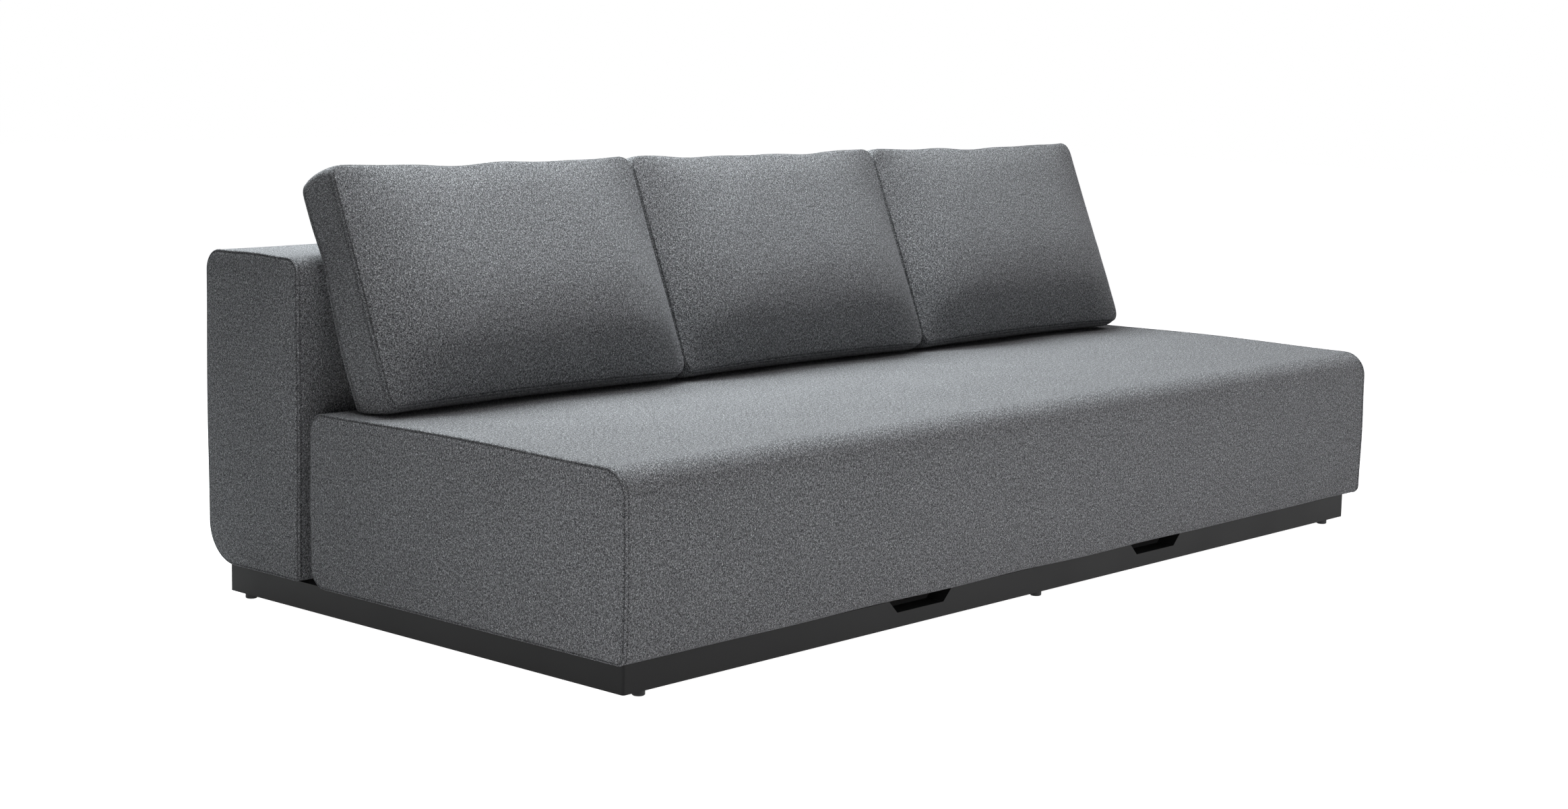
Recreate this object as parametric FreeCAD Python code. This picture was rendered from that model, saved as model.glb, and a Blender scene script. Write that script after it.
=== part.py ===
import FreeCAD, Part
import math
import os

V = FreeCAD.Vector

# Driving dimensions in millimetres. X runs across the sofa, Y to the rear and Z up.
# The origin is on the floor, below the middle of the footprint.
WIDTH = 2300.0
SEAT_DEPTH = 797.0
SLOT = 34.0
BACK_DEPTH = 269.0
SEAT_TOP = 380.0
BACK_TOP = 648.0

# Plinth
GLIDE_H = 12.0
GLIDE_D = 22.0
GLIDE_EDGE = 1.5
FRONT_GLIDE_INSET = 54.0
REAR_GLIDE_INSET = 36.0
PLINTH_H = 50.0
PLINTH_INSET = 25.0
PLINTH_REAR_INSET = 32.0
PLINTH_CORNER_R = 4.0
RAIL_T = 40.0
NOTCH_X = 377.0
NOTCH_BOTTOM_W = 132.0
NOTCH_DEPTH = 23.0
BRACKET_LEG = 60.0
BRACKET_T = 3.0
BRACKET_H = 30.0
BEAM_W = 60.0
BEAM_H = 22.0
STRIP_W = 18.0
STRIP_END_GAP = 25.0

# Seat carriage
SEAT_TRAVEL = 300.0
SEAT_GAP = 4.0
TRACK_X = 760.0
TRACK_W = 34.0
TRACK_H = 24.0
TRACK_WALL = 2.5
TRACK_SLOT = 12.0
TRACK_END_SETBACK = 7.0
TRACK_SINK = 3.0
STOP_LENGTH = 12.0
STOP_GAP = 3.0
RUNNER_FLANGE_W = 44.0
RUNNER_FLANGE_T = 3.0
RUNNER_STEM_W = 6.0
RUNNER_HEAD_W = 22.0
RUNNER_HEAD_H = 6.0
RUNNER_LIP_GAP = 2.5
SHOE_LENGTH = 40.0
PULL_W = 110.0
PULL_T = 4.0
PULL_LIP = 7.0
PULL_REACH = 15.0

# Upholstery
COVER_T = 2.5
END_R = 10.0
SEAT_FRONT_TOP_R = 50.0
SEAT_REAR_TOP_R = 35.0
SEAT_REAR_BOTTOM_R = 38.0
BOTTOM_EDGE_R = 8.0
BACK_FRONT_TOP_R = 28.0
BACK_REAR_TOP_R = 38.0
BACK_REAR_BOTTOM_R = 75.0
CLOTH_LAP = 15.0

# Seat frame
BOARD_T = 25.0
SEAT_PAD_FRONT = 55.0
SEAT_PAD_REAR = 42.0
SEAT_PAD_END = 35.0
SEAT_FRAME_H = 120.0
CROSS_RAIL_W = 45.0
CROSS_RAIL_H = 60.0
CORNER_BLOCK = 70.0
CORNER_BLOCK_H = 100.0
SLAT_W = 70.0
SLAT_T = 12.0
SLAT_COUNT = 12
SLAT_END_GAP = 15.0

# Back frame and its fixing
BACK_GAP = 7.0
BACK_PAD_FRONT = 50.0
BACK_PAD_REAR = 11.0
BACK_PAD_TOP = 38.0
BACK_PAD_END = 30.0
BACK_FOOT_DEPTH = 124.0
FRONT_PANEL_T = 4.0
REAR_PANEL_T = 3.0
BEARER_W = 50.0
BEARER_SETBACK = 12.0
BEARER_END_GAP = 15.0
PAD_LENGTH = 40.0
PAD_W = 34.0
PAD_X = (-1040.0, -500.0, 0.0, 500.0, 1040.0)
BACK_BRACKET_T = 6.0
BACK_BRACKET_W = 70.0
BACK_BRACKET_TOP = 470.0
BACK_SCREW_Z = (200.0, 420.0)

# Loose cushions: boxed, leaning back on the front top edge of the back block
CUSHION_W = 730.0
CUSHION_SPACE = 4.0
CUSHION_FACE = 443.0
CUSHION_GUSSET = 97.0
CUSHION_TILT = 22.2
CUSHION_LEAN_GAP = 0.1
CUSHION_FRONT_SEAM_RISE = 22.6
CUSHION_CORNER_R = 25.0
CUSHION_DRAW_IN = 7.0
CUSHION_CROWN = 33.0
CUSHION_REAR_CROWN = 6.0
CUSHION_EDGE_CROWN = 2.0
CUSHION_COVER_T = 2.0

# Fasteners and clearances
SCREW_R = 2.5
SCREW_HEAD_R = 5.0
SCREW_HEAD_H = 3.0
SCREW_BITE = 24.0
COACH_R = 4.0
COACH_HEAD_R = 7.0
COACH_HEAD_H = 5.0
COACH_BITE = 18.0
HOLE_CLEAR = 0.1
SOFT_CLEAR = 0.3
SLIDE_CLEAR = 0.3
SLOT_CLEAR = 0.5

# Planes that several pieces share
END_X = WIDTH / 2
FRONT_Y = -(SEAT_DEPTH + SLOT + BACK_DEPTH) / 2
SEAT_REAR_Y = FRONT_Y + SEAT_DEPTH
BACK_FRONT_Y = SEAT_REAR_Y + SLOT
BACK_REAR_Y = BACK_FRONT_Y + BACK_DEPTH
PLINTH_X = END_X - PLINTH_INSET
PLINTH_FRONT_Y = FRONT_Y + PLINTH_INSET
PLINTH_REAR_Y = BACK_REAR_Y - PLINTH_REAR_INSET
PLINTH_TOP = GLIDE_H + PLINTH_H
RAIL_INNER_X = PLINTH_X - RAIL_T
RAIL_INNER_FRONT_Y = PLINTH_FRONT_Y + RAIL_T
RAIL_INNER_REAR_Y = PLINTH_REAR_Y - RAIL_T
BEAM_TOP = PLINTH_TOP - TRACK_SINK - TRACK_H
SEAT_BOTTOM = PLINTH_TOP + SEAT_GAP
BACK_BOTTOM = PLINTH_TOP + BACK_GAP

parts = {}


def block(x0, x1, y0, y1, z0, z1):
    """Box between two corners."""
    return Part.makeBox(x1 - x0, y1 - y0, z1 - z0, V(x0, y0, z0))


def prism_x(points, x0, x1):
    """Outline of (y, z) points carried along X."""
    loop = [V(x0, y, z) for y, z in points]
    face = Part.Face(Part.makePolygon(loop + loop[:1]))
    return face.extrude(V(x1 - x0, 0, 0))


def prism_y(points, y0, y1):
    """Outline of (x, z) points carried along Y."""
    loop = [V(x, y0, z) for x, z in points]
    face = Part.Face(Part.makePolygon(loop + loop[:1]))
    return face.extrude(V(0, y1 - y0, 0))


def prism_z(points, z0, z1):
    """Outline of (x, y) points carried along Z."""
    loop = [V(x, y, z0) for x, y in points]
    face = Part.Face(Part.makePolygon(loop + loop[:1]))
    return face.extrude(V(0, 0, z1 - z0))


def round_screw(seat, along, radius, bite, head_r, head_h):
    """Screw whose head stands on the seat point and whose shank runs along the direction."""
    shank = Part.makeCylinder(radius, bite, seat, along)
    head = Part.makeCylinder(head_r, head_h, seat - along * head_h, along)
    return shank.fuse(head).removeSplitter()


def flush_screw(face_point, along, sink):
    """Countersunk screw: its head lies flush in a sheet of thickness sink."""
    head = Part.makeCone(SCREW_HEAD_R, SCREW_R, sink, face_point, along)
    shank = Part.makeCylinder(SCREW_R, SCREW_BITE, face_point + along * sink, along)
    return head.fuse(shank).removeSplitter()


def flush_hole(face_point, along, sink):
    """Countersunk hole for flush_screw, wider by the hole clearance."""
    head = Part.makeCone(SCREW_HEAD_R + HOLE_CLEAR, SCREW_R + HOLE_CLEAR, sink, face_point, along)
    depth = SCREW_BITE + HOLE_CLEAR
    shank = Part.makeCylinder(SCREW_R + HOLE_CLEAR, depth, face_point + along * sink, along)
    return head.fuse(shank)


def drill(seat, along, radius, depth):
    """Round hole that starts at the seat point."""
    return Part.makeCylinder(radius + HOLE_CLEAR, depth + HOLE_CLEAR, seat, along)


def sides(name, left_shape):
    """Store a left piece and its mirror image on the right."""
    parts[name + "_left"] = left_shape
    parts[name + "_right"] = left_shape.mirror(V(0, 0, 0), V(1, 0, 0))


def both_ends(shapes):
    """List of left shapes followed by their mirror images."""
    return shapes + [s.mirror(V(0, 0, 0), V(1, 0, 0)) for s in shapes]


# Plinth rails, mitred at the corners of one frame with rounded upright edges
plinth_z = (GLIDE_H, PLINTH_TOP)
frame_block = block(-PLINTH_X, PLINTH_X, PLINTH_FRONT_Y, PLINTH_REAR_Y, *plinth_z)
corner_edges = [e for e in frame_block.Edges if abs(e.tangentAt(e.FirstParameter).z) > 0.9]
frame_block = frame_block.makeFillet(PLINTH_CORNER_R, corner_edges)
front_outline = [
    (-PLINTH_X, PLINTH_FRONT_Y),
    (PLINTH_X, PLINTH_FRONT_Y),
    (RAIL_INNER_X, RAIL_INNER_FRONT_Y),
    (-RAIL_INNER_X, RAIL_INNER_FRONT_Y),
]
rear_outline = [
    (-PLINTH_X, PLINTH_REAR_Y),
    (PLINTH_X, PLINTH_REAR_Y),
    (RAIL_INNER_X, RAIL_INNER_REAR_Y),
    (-RAIL_INNER_X, RAIL_INNER_REAR_Y),
]
left_outline = [
    (-PLINTH_X, PLINTH_FRONT_Y),
    (-RAIL_INNER_X, RAIL_INNER_FRONT_Y),
    (-RAIL_INNER_X, RAIL_INNER_REAR_Y),
    (-PLINTH_X, PLINTH_REAR_Y),
]
front_rail = frame_block.common(prism_z(front_outline, *plinth_z))
rear_rail = frame_block.common(prism_z(rear_outline, *plinth_z))
left_rail = frame_block.common(prism_z(left_outline, *plinth_z))

# Finger notches in the top edge of the front rail, with sides at 45 degrees
notch_bottom = NOTCH_BOTTOM_W / 2
notch_top = notch_bottom + NOTCH_DEPTH
for notch_x in (-NOTCH_X, NOTCH_X):
    notch = [
        (notch_x - notch_bottom, PLINTH_TOP - NOTCH_DEPTH),
        (notch_x + notch_bottom, PLINTH_TOP - NOTCH_DEPTH),
        (notch_x + notch_top, PLINTH_TOP),
        (notch_x - notch_top, PLINTH_TOP),
    ]
    front_rail = front_rail.cut(prism_y(notch, PLINTH_FRONT_Y, RAIL_INNER_FRONT_Y))

# Glides: round pads screwed up into the rails from a counterbore
UP = V(0, 0, 1)
front_glide_y = PLINTH_FRONT_Y + RAIL_T / 2
rear_glide_y = PLINTH_REAR_Y - REAR_GLIDE_INSET
glide_places = [
    (-PLINTH_X + FRONT_GLIDE_INSET, front_glide_y),
    (0.0, front_glide_y),
    (PLINTH_X - FRONT_GLIDE_INSET, front_glide_y),
    (-PLINTH_X + RAIL_T / 2, rear_glide_y),
    (0.0, PLINTH_REAR_Y - RAIL_T / 2),
    (PLINTH_X - RAIL_T / 2, rear_glide_y),
]
glides = []
glide_screws = []
glide_holes = []
for x, y in glide_places:
    glide = Part.makeCylinder(GLIDE_D / 2, GLIDE_H, V(x, y, 0))
    glide = glide.makeChamfer(GLIDE_EDGE, [e for e in glide.Edges if e.BoundBox.ZMax < GLIDE_EDGE])
    seat_point = V(x, y, GLIDE_H / 2)
    glide = glide.cut(Part.makeCylinder(SCREW_HEAD_R + HOLE_CLEAR, GLIDE_H / 2, V(x, y, 0)))
    glides.append(glide.cut(drill(seat_point, UP, SCREW_R, GLIDE_H)))
    glide_screws.append(round_screw(seat_point, UP, SCREW_R, SCREW_BITE, SCREW_HEAD_R, SCREW_HEAD_H))
    glide_holes.append(drill(seat_point, UP, SCREW_R, SCREW_BITE))
parts["glides"] = Part.makeCompound(glides)
parts["glide_screws"] = Part.makeCompound(glide_screws)

# Steel angles inside the four corners, with one screw into each rail
bracket_z0 = GLIDE_H + (PLINTH_H - BRACKET_H) / 2
bracket_mid_z = bracket_z0 + BRACKET_H / 2
angles = []
angle_screws = []
angle_holes = []
for y, inward in ((RAIL_INNER_FRONT_Y, 1), (RAIL_INNER_REAR_Y, -1)):
    x = -RAIL_INNER_X
    outline = [
        (x, y),
        (x + BRACKET_LEG, y),
        (x + BRACKET_LEG, y + inward * BRACKET_T),
        (x + BRACKET_T, y + inward * BRACKET_T),
        (x + BRACKET_T, y + inward * BRACKET_LEG),
        (x, y + inward * BRACKET_LEG),
    ]
    angle = prism_z(outline, bracket_z0, bracket_z0 + BRACKET_H)
    screw_run = 0.7 * BRACKET_LEG
    fixings = (
        (V(x + screw_run, y + inward * BRACKET_T, bracket_mid_z), V(0, -inward, 0)),
        (V(x + BRACKET_T, y + inward * screw_run, bracket_mid_z), V(-1, 0, 0)),
    )
    for seat_point, along in fixings:
        hole = drill(seat_point, along, SCREW_R, SCREW_BITE)
        angle = angle.cut(hole)
        angle_holes.append(hole)
        angle_screws.append(round_screw(seat_point, along, SCREW_R, SCREW_BITE, SCREW_HEAD_R, SCREW_HEAD_H))
    angles.append(angle)
parts["corner_angles"] = Part.makeCompound(both_ends(angles))
parts["corner_screws"] = Part.makeCompound(both_ends(angle_screws))
rail_holes = Part.makeCompound(glide_holes + both_ends(angle_holes))
parts["plinth_front_rail"] = front_rail.cut(rail_holes)
parts["plinth_rear_rail"] = rear_rail.cut(rail_holes)
sides("plinth_rail", left_rail.cut(rail_holes))

# Cross beams between the front and rear rails: two below the tracks, one in the middle
beam_y = (RAIL_INNER_FRONT_Y, RAIL_INNER_REAR_Y)
beam_z = (BEAM_TOP - BEAM_H, BEAM_TOP)
beam_left = block(-TRACK_X - BEAM_W / 2, -TRACK_X + BEAM_W / 2, *beam_y, *beam_z)
parts["plinth_beam_centre"] = block(-BEAM_W / 2, BEAM_W / 2, *beam_y, *beam_z)

# Tracks: C channels on the side beams, open at the top by a slot for the runner's stem
track_x0 = -TRACK_X - TRACK_W / 2
track_x1 = -TRACK_X + TRACK_W / 2
track_rear_y = SEAT_REAR_Y - TRACK_END_SETBACK
track_y = (RAIL_INNER_FRONT_Y, track_rear_y)
track_top = BEAM_TOP + TRACK_H
track_floor = BEAM_TOP + TRACK_WALL
lip_bottom = track_top - TRACK_WALL
hollow_x = (track_x0 + TRACK_WALL, track_x1 - TRACK_WALL)
track = block(track_x0, track_x1, *track_y, BEAM_TOP, track_top)
track = track.cut(block(*hollow_x, *track_y, track_floor, lip_bottom))
slot_x = (-TRACK_X - TRACK_SLOT / 2, -TRACK_X + TRACK_SLOT / 2)
track = track.cut(block(*slot_x, *track_y, lip_bottom, track_top))
DOWN = V(0, 0, -1)
track_screws = []
for share in (0.06, 0.5, 0.9):
    y = track_y[0] + share * (track_y[1] - track_y[0])
    face_point = V(-TRACK_X, y, track_floor)
    hole = Part.makeCylinder(SCREW_R + HOLE_CLEAR, BEAM_H, face_point, DOWN)
    cone = Part.makeCone(SCREW_HEAD_R + HOLE_CLEAR, SCREW_R + HOLE_CLEAR, TRACK_WALL, face_point, DOWN)
    track = track.cut(hole.fuse(cone))
    beam_left = beam_left.cut(hole)
    head = Part.makeCone(SCREW_HEAD_R, SCREW_R, TRACK_WALL, face_point, DOWN)
    shank = Part.makeCylinder(SCREW_R, BEAM_H - TRACK_WALL, face_point + DOWN * TRACK_WALL, DOWN)
    track_screws.append(head.fuse(shank).removeSplitter())
sides("track", track)
parts["track_screws"] = Part.makeCompound(both_ends(track_screws))

# Stops: rubber blocks in the rear ends of the tracks
stop_y = (track_rear_y - STOP_LENGTH, track_rear_y)
stop = block(*hollow_x, *stop_y, track_floor, lip_bottom)
parts["track_stops"] = Part.makeCompound(both_ends([stop]))

# Sliding strips on top of the front rail, clear of the notches
strip_y0 = PLINTH_FRONT_Y + (RAIL_T - STRIP_W) / 2
strip_z = (PLINTH_TOP, SEAT_BOTTOM - SLIDE_CLEAR)
strip_inner = NOTCH_X - notch_top - STRIP_END_GAP
strip_outer = (NOTCH_X + notch_top + STRIP_END_GAP, RAIL_INNER_X)
strips = [block(-strip_inner, strip_inner, strip_y0, strip_y0 + STRIP_W, *strip_z)]
strips += both_ends([block(-strip_outer[1], -strip_outer[0], strip_y0, strip_y0 + STRIP_W, *strip_z)])
parts["slide_strips"] = Part.makeCompound(strips)


def soft_profile(x, y0, y1, z0, z1, radii):
    """Rounded upright outline at x. Radii run: front bottom, rear bottom, rear top, front top."""
    front_bottom, rear_bottom, rear_top, front_top = radii
    corners = (
        (y0 + front_bottom, z0 + front_bottom, front_bottom, 180),
        (y1 - rear_bottom, z0 + rear_bottom, rear_bottom, 270),
        (y1 - rear_top, z1 - rear_top, rear_top, 0),
        (y0 + front_top, z1 - front_top, front_top, 90),
    )
    arcs = []
    for cy, cz, r, start in corners:
        points = []
        for turn in (0, 45, 90):
            angle = math.radians(start + turn)
            points.append(V(x, cy + r * math.cos(angle), cz + r * math.sin(angle)))
        arcs.append(Part.Arc(*points))
    edges = []
    for i, arc in enumerate(arcs):
        edges.append(arc.toShape())
        edges.append(Part.LineSegment(arc.EndPoint, arcs[(i + 1) % 4].StartPoint).toShape())
    return Part.Wire(edges)


def soft_block(y0, y1, z0, z1, radii, inset):
    """Upholstered block across the whole width, or the block inside its cover, by the inset."""
    x = END_X - inset
    inner_radii = [r - inset for r in radii]
    profile = soft_profile(-x, y0 + inset, y1 - inset, z0 + inset, z1 - inset, inner_radii)
    solid = Part.Face(profile).extrude(V(2 * x, 0, 0))
    end_edges = [e for e in solid.Edges if e.BoundBox.XLength < HOLE_CLEAR]
    return solid.makeFillet(END_R - inset, end_edges)


# Seat frame: four boards on edge, cross rails, corner blocks and slats
seat_frame_x = END_X - SEAT_PAD_END
seat_frame_y = (FRONT_Y + SEAT_PAD_FRONT, SEAT_REAR_Y - SEAT_PAD_REAR)
seat_frame_z = (SEAT_BOTTOM + COVER_T, SEAT_BOTTOM + COVER_T + SEAT_FRAME_H)
inner_x = seat_frame_x - BOARD_T
inner_y = (seat_frame_y[0] + BOARD_T, seat_frame_y[1] - BOARD_T)
seat_front_rail = block(-seat_frame_x, seat_frame_x, seat_frame_y[0], inner_y[0], *seat_frame_z)
parts["seat_rear_rail"] = block(-seat_frame_x, seat_frame_x, inner_y[1], seat_frame_y[1], *seat_frame_z)
sides("seat_end_rail", block(-seat_frame_x, -inner_x, *inner_y, *seat_frame_z))
cross_z = (seat_frame_z[0], seat_frame_z[0] + CROSS_RAIL_H)
cross_left = block(-TRACK_X - CROSS_RAIL_W / 2, -TRACK_X + CROSS_RAIL_W / 2, *inner_y, *cross_z)
parts["seat_cross_rail_centre"] = block(-CROSS_RAIL_W / 2, CROSS_RAIL_W / 2, *inner_y, *cross_z)
corner_blocks = []
for y, inward in ((inner_y[0], 1), (inner_y[1], -1)):
    outline = [(-inner_x, y), (-inner_x + CORNER_BLOCK, y), (-inner_x, y + inward * CORNER_BLOCK)]
    corner_blocks.append(prism_z(outline, seat_frame_z[1] - CORNER_BLOCK_H, seat_frame_z[1]))
parts["seat_corner_blocks"] = Part.makeCompound(both_ends(corner_blocks))
slat_z = (seat_frame_z[1], seat_frame_z[1] + SLAT_T)
slat_span = 2 * (seat_frame_x - SLAT_END_GAP) - SLAT_W
slats = []
for i in range(SLAT_COUNT):
    x = -seat_frame_x + SLAT_END_GAP + slat_span * i / (SLAT_COUNT - 1)
    slats.append(block(x, x + SLAT_W, *seat_frame_y, *slat_z))
parts["seat_slats"] = Part.makeCompound(slats)

# Seat upholstery: foam over the frame, a cover around it and a dust cloth below
seat_radii = (BOTTOM_EDGE_R, SEAT_REAR_BOTTOM_R, SEAT_REAR_TOP_R, SEAT_FRONT_TOP_R)
seat_size = (FRONT_Y, SEAT_REAR_Y, SEAT_BOTTOM, SEAT_TOP, seat_radii)
seat_outer = soft_block(*seat_size, 0.0)
seat_inner = soft_block(*seat_size, COVER_T)
seat_cavity = block(-seat_frame_x, seat_frame_x, *seat_frame_y, SEAT_BOTTOM, slat_z[1])
parts["seat_foam"] = seat_inner.cut(seat_cavity)
cloth_x = seat_frame_x - CLOTH_LAP
cloth_y = (seat_frame_y[0] + CLOTH_LAP, seat_frame_y[1] - CLOTH_LAP)
seat_cloth = block(-cloth_x, cloth_x, *cloth_y, SEAT_BOTTOM, seat_frame_z[0])
seat_cover = seat_outer.cut(seat_inner).cut(seat_cloth)

# Runners: T bars below the seat, whose heads are held in the tracks
flange_z = (SEAT_BOTTOM - RUNNER_FLANGE_T, SEAT_BOTTOM)
head_top = lip_bottom - RUNNER_LIP_GAP
head_bottom = head_top - RUNNER_HEAD_H
runner_y = (RAIL_INNER_FRONT_Y + SEAT_TRAVEL + STOP_GAP, stop_y[0] - STOP_GAP)
half_flange = RUNNER_FLANGE_W / 2
half_stem = RUNNER_STEM_W / 2
half_head = RUNNER_HEAD_W / 2
runner_outline = [
    (-TRACK_X - half_flange, flange_z[1]),
    (-TRACK_X - half_flange, flange_z[0]),
    (-TRACK_X - half_stem, flange_z[0]),
    (-TRACK_X - half_stem, head_top),
    (-TRACK_X - half_head, head_top),
    (-TRACK_X - half_head, head_bottom),
    (-TRACK_X + half_head, head_bottom),
    (-TRACK_X + half_head, head_top),
    (-TRACK_X + half_stem, head_top),
    (-TRACK_X + half_stem, flange_z[0]),
    (-TRACK_X + half_flange, flange_z[0]),
    (-TRACK_X + half_flange, flange_z[1]),
]
runner = prism_y(runner_outline, *runner_y)
runner_screws = []
runner_screw_x = (half_stem + half_flange) / 2
screw_run_y = (runner_y[0] + SCREW_BITE, inner_y[1] - SCREW_BITE)
for y in (screw_run_y[0], sum(screw_run_y) / 2, screw_run_y[1]):
    for x in (-TRACK_X - runner_screw_x, -TRACK_X + runner_screw_x):
        face_point = V(x, y, flange_z[0])
        hole = flush_hole(face_point, UP, RUNNER_FLANGE_T)
        runner = runner.cut(hole)
        seat_cloth = seat_cloth.cut(both_ends([hole]))
        cross_left = cross_left.cut(hole)
        runner_screws.append(flush_screw(face_point, UP, RUNNER_FLANGE_T))
sides("runner", runner)
sides("seat_cross_rail", cross_left)
parts["runner_screws"] = Part.makeCompound(both_ends(runner_screws))

# Shoes: sliding blocks below the ends of the runner heads
shoes = []
for y in (runner_y[0], runner_y[1] - SHOE_LENGTH):
    shoe_x = (-TRACK_X - half_head, -TRACK_X + half_head)
    shoes.append(block(*shoe_x, y, y + SHOE_LENGTH, track_floor + SLIDE_CLEAR, head_bottom))
parts["runner_shoes"] = Part.makeCompound(both_ends(shoes))

# Finger pulls: small angles below the seat's front rail, reached through the notches
pull_y1 = RAIL_INNER_FRONT_Y + PULL_REACH + PULL_T
pull_screw_y = seat_frame_y[0] + CLOTH_LAP / 2
pulls = []
pull_screws = []
for x in (-NOTCH_X, NOTCH_X):
    flange = block(x - PULL_W / 2, x + PULL_W / 2, seat_frame_y[0], pull_y1, *flange_z)
    lip_y = (pull_y1 - PULL_T, pull_y1)
    lip = block(x - PULL_W / 2, x + PULL_W / 2, *lip_y, flange_z[0] - PULL_LIP, flange_z[0])
    pull = flange.fuse(lip).removeSplitter()
    for screw_x in (x - PULL_W / 4, x + PULL_W / 4):
        face_point = V(screw_x, pull_screw_y, flange_z[0])
        hole = flush_hole(face_point, UP, RUNNER_FLANGE_T)
        pull = pull.cut(hole)
        seat_cover = seat_cover.cut(hole)
        seat_front_rail = seat_front_rail.cut(hole)
        pull_screws.append(flush_screw(face_point, UP, RUNNER_FLANGE_T))
    pulls.append(pull)
parts["finger_pulls"] = Part.makeCompound(pulls)
parts["finger_pull_screws"] = Part.makeCompound(pull_screws)
parts["seat_cover"] = seat_cover
parts["seat_front_rail"] = seat_front_rail
parts["seat_dust_cloth"] = seat_cloth

# Back frame: a boarded box beam, cut away below at the rear where the cover curves under
back_x = END_X - BACK_PAD_END
back_y0 = BACK_FRONT_Y + BACK_PAD_FRONT
back_y1 = BACK_REAR_Y - COVER_T - BACK_PAD_REAR
foot_y1 = back_y0 + BACK_FOOT_DEPTH
back_z0 = BACK_BOTTOM + COVER_T
back_z1 = BACK_TOP - BACK_PAD_TOP
foot_top = back_z0 + BOARD_T
shoulder_z = foot_top + back_y1 - foot_y1
stile_top = back_z1 - BOARD_T
back_foot = block(-back_x, back_x, back_y0, foot_y1, back_z0, foot_top)
parts["back_top_rail"] = block(-back_x, back_x, back_y0, back_y1, stile_top, back_z1)
stile_outline = [
    (back_y0, foot_top),
    (foot_y1, foot_top),
    (back_y1, shoulder_z),
    (back_y1, stile_top),
    (back_y0, stile_top),
]
sides("back_end_stile", prism_x(stile_outline, -back_x, -back_x + BOARD_T))
parts["back_stile_centre"] = prism_x(stile_outline, -BOARD_T / 2, BOARD_T / 2)
stile_x = -TRACK_X - BACK_BRACKET_T / 2
stile_left = prism_x(stile_outline, stile_x - BOARD_T, stile_x)
panel_y = (back_y0 - FRONT_PANEL_T, back_y0)
parts["back_front_panel"] = block(-back_x, back_x, *panel_y, back_z0, back_z1)
rear_panel_y = (back_y1, back_y1 + REAR_PANEL_T)
parts["back_rear_panel"] = block(-back_x, back_x, *rear_panel_y, shoulder_z, back_z1)

# Back upholstery: foam wrapped around the frame, a cover and a dust cloth below
back_radii = (BOTTOM_EDGE_R, BACK_REAR_BOTTOM_R, BACK_REAR_TOP_R, BACK_FRONT_TOP_R)
back_size = (BACK_FRONT_Y, BACK_REAR_Y, BACK_BOTTOM, BACK_TOP, back_radii)
back_outer = soft_block(*back_size, 0.0)
back_inner = soft_block(*back_size, COVER_T)
cavity_outline = [
    (panel_y[0], back_z0),
    (foot_y1, back_z0),
    (foot_y1, foot_top),
    (back_y1, shoulder_z),
    (rear_panel_y[1], shoulder_z),
    (rear_panel_y[1], back_z1),
    (panel_y[0], back_z1),
]
parts["back_foam"] = back_inner.cut(prism_x(cavity_outline, -back_x, back_x))
back_cloth_x = back_x - CLOTH_LAP
back_cloth_y = (back_y0 + CLOTH_LAP / 2, foot_y1 - CLOTH_LAP / 2)
back_cloth = block(-back_cloth_x, back_cloth_x, *back_cloth_y, BACK_BOTTOM, back_z0)
parts["back_cover"] = back_outer.cut(back_inner).cut(back_cloth)

# Bearers across the beams, with rubber pads that carry the back
front_bearer_y = (BACK_FRONT_Y + BEARER_SETBACK, BACK_FRONT_Y + BEARER_SETBACK + BEARER_W)
bracket_y = (front_bearer_y[1] + SLOT_CLEAR, front_bearer_y[1] + SLOT_CLEAR + BACK_BRACKET_W)
rear_bearer_y = (bracket_y[1] + SLOT_CLEAR, bracket_y[1] + SLOT_CLEAR + BEARER_W)
bearer_z = (BEAM_TOP, PLINTH_TOP)
bearer_x = RAIL_INNER_X - BEARER_END_GAP
parts["back_bearer_front"] = block(-bearer_x, bearer_x, *front_bearer_y, *bearer_z)
parts["back_bearer_rear"] = block(-bearer_x, bearer_x, *rear_bearer_y, *bearer_z)
pads = []
for y0, y1 in (front_bearer_y, rear_bearer_y):
    pad_y0 = (y0 + y1 - PAD_W) / 2
    for x in PAD_X:
        pad_x = (x - PAD_LENGTH / 2, x + PAD_LENGTH / 2)
        pads.append(block(*pad_x, pad_y0, pad_y0 + PAD_W, PLINTH_TOP, BACK_BOTTOM))
parts["back_pads"] = Part.makeCompound(pads)

# Steel brackets: a foot on the beam and an upright against the stile, through a slot in the back's floor
half_bracket = BACK_BRACKET_T / 2
bracket_foot = block(
    -TRACK_X - BEAM_W / 2, -TRACK_X + BEAM_W / 2, *bracket_y, BEAM_TOP, BEAM_TOP + BACK_BRACKET_T
)
upright_z = (BEAM_TOP + BACK_BRACKET_T, BACK_BRACKET_TOP)
upright = block(-TRACK_X - half_bracket, -TRACK_X + half_bracket, *bracket_y, *upright_z)
back_bracket = bracket_foot.fuse(upright).removeSplitter()
slot = block(
    -TRACK_X - half_bracket - SLOT_CLEAR,
    -TRACK_X + half_bracket + SLOT_CLEAR,
    bracket_y[0] - SLOT_CLEAR,
    bracket_y[1] + SLOT_CLEAR,
    BACK_BOTTOM,
    foot_top,
)
parts["back_foot_rail"] = back_foot.cut(both_ends([slot]))
parts["back_dust_cloth"] = back_cloth.cut(both_ends([slot]))
bracket_mid_y = (bracket_y[0] + bracket_y[1]) / 2
fixings = [(V(-TRACK_X + half_bracket, bracket_mid_y, z), V(-1, 0, 0)) for z in BACK_SCREW_Z]
foot_screw_x = (half_bracket + BEAM_W / 2) / 2
for x in (-TRACK_X - foot_screw_x, -TRACK_X + foot_screw_x):
    fixings.append((V(x, bracket_mid_y, BEAM_TOP + BACK_BRACKET_T), DOWN))
bracket_screws = []
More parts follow.
